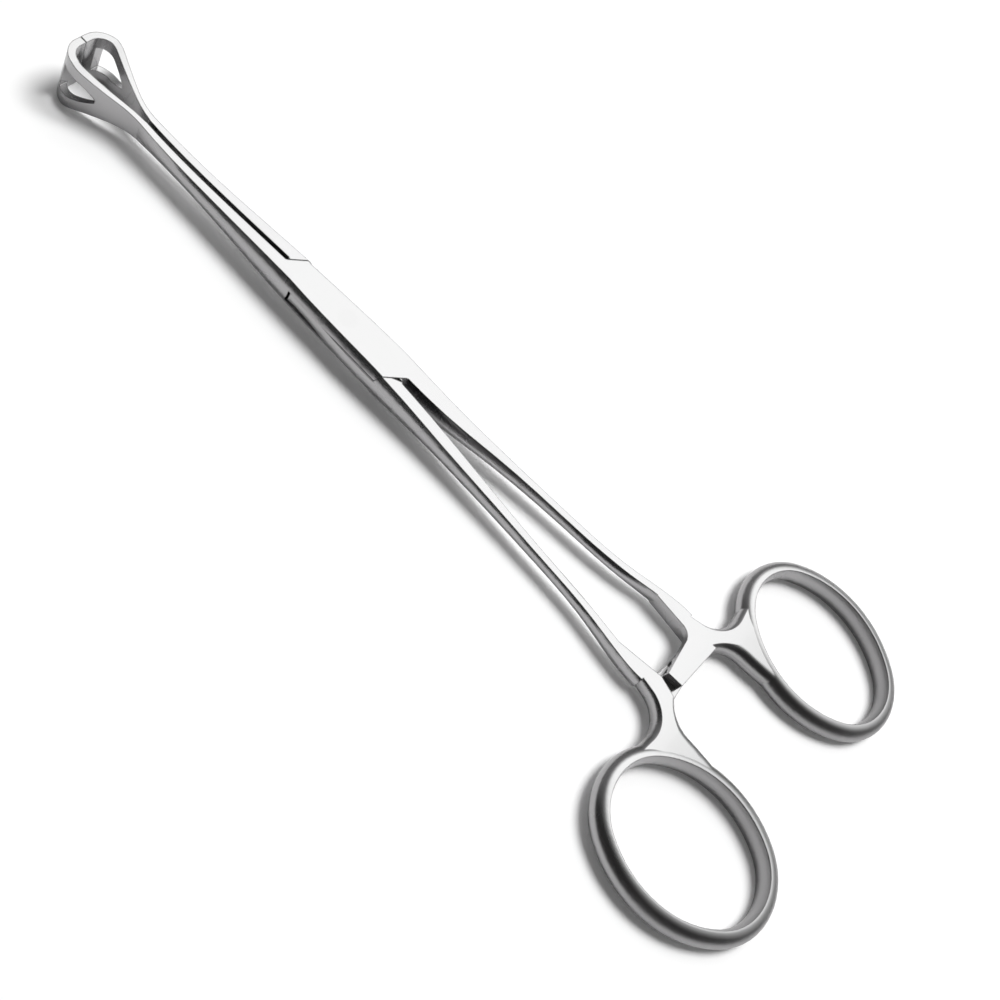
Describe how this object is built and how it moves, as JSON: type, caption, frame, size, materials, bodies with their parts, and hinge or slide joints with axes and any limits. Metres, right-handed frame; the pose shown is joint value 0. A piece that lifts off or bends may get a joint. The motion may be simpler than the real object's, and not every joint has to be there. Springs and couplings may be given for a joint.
{
  "type": "tissue forceps",
  "caption": "Box-lock ring-handled tissue forceps with flared, fenestrated curved jaws, slender tapering shanks, a finger ring on each half and a toothed ratchet between the rings",
  "frame": {"origin": "on the axis of the pivot pin, at the ground underside of the lock", "axes": "+X along the instrument to the jaw tips, +Y across it towards the jaw of the box half, +Z along the pin"},
  "size_m": [0.1599, 0.0692, 0.009],
  "materials": {
    "box_half_steel": "satin polished stainless steel",
    "tongue_half_steel": "satin polished stainless steel",
    "pin_steel": "ground flush with the lock"
  },
  "bodies": {
    "box_side": {"box_lock_half": "box_half_steel", "pivot_pin": "pin_steel"},
    "tongue_side": {"tongue_half": "tongue_half_steel"}
  },
  "joints": [
    {"name": "box_lock_hinge", "type": "hinge", "parent": "box_side", "child": "tongue_side", "pos_m": [0, 0, 0.00242], "axis": [0, 0, -1], "range_deg": [0, 40]}
  ]
}
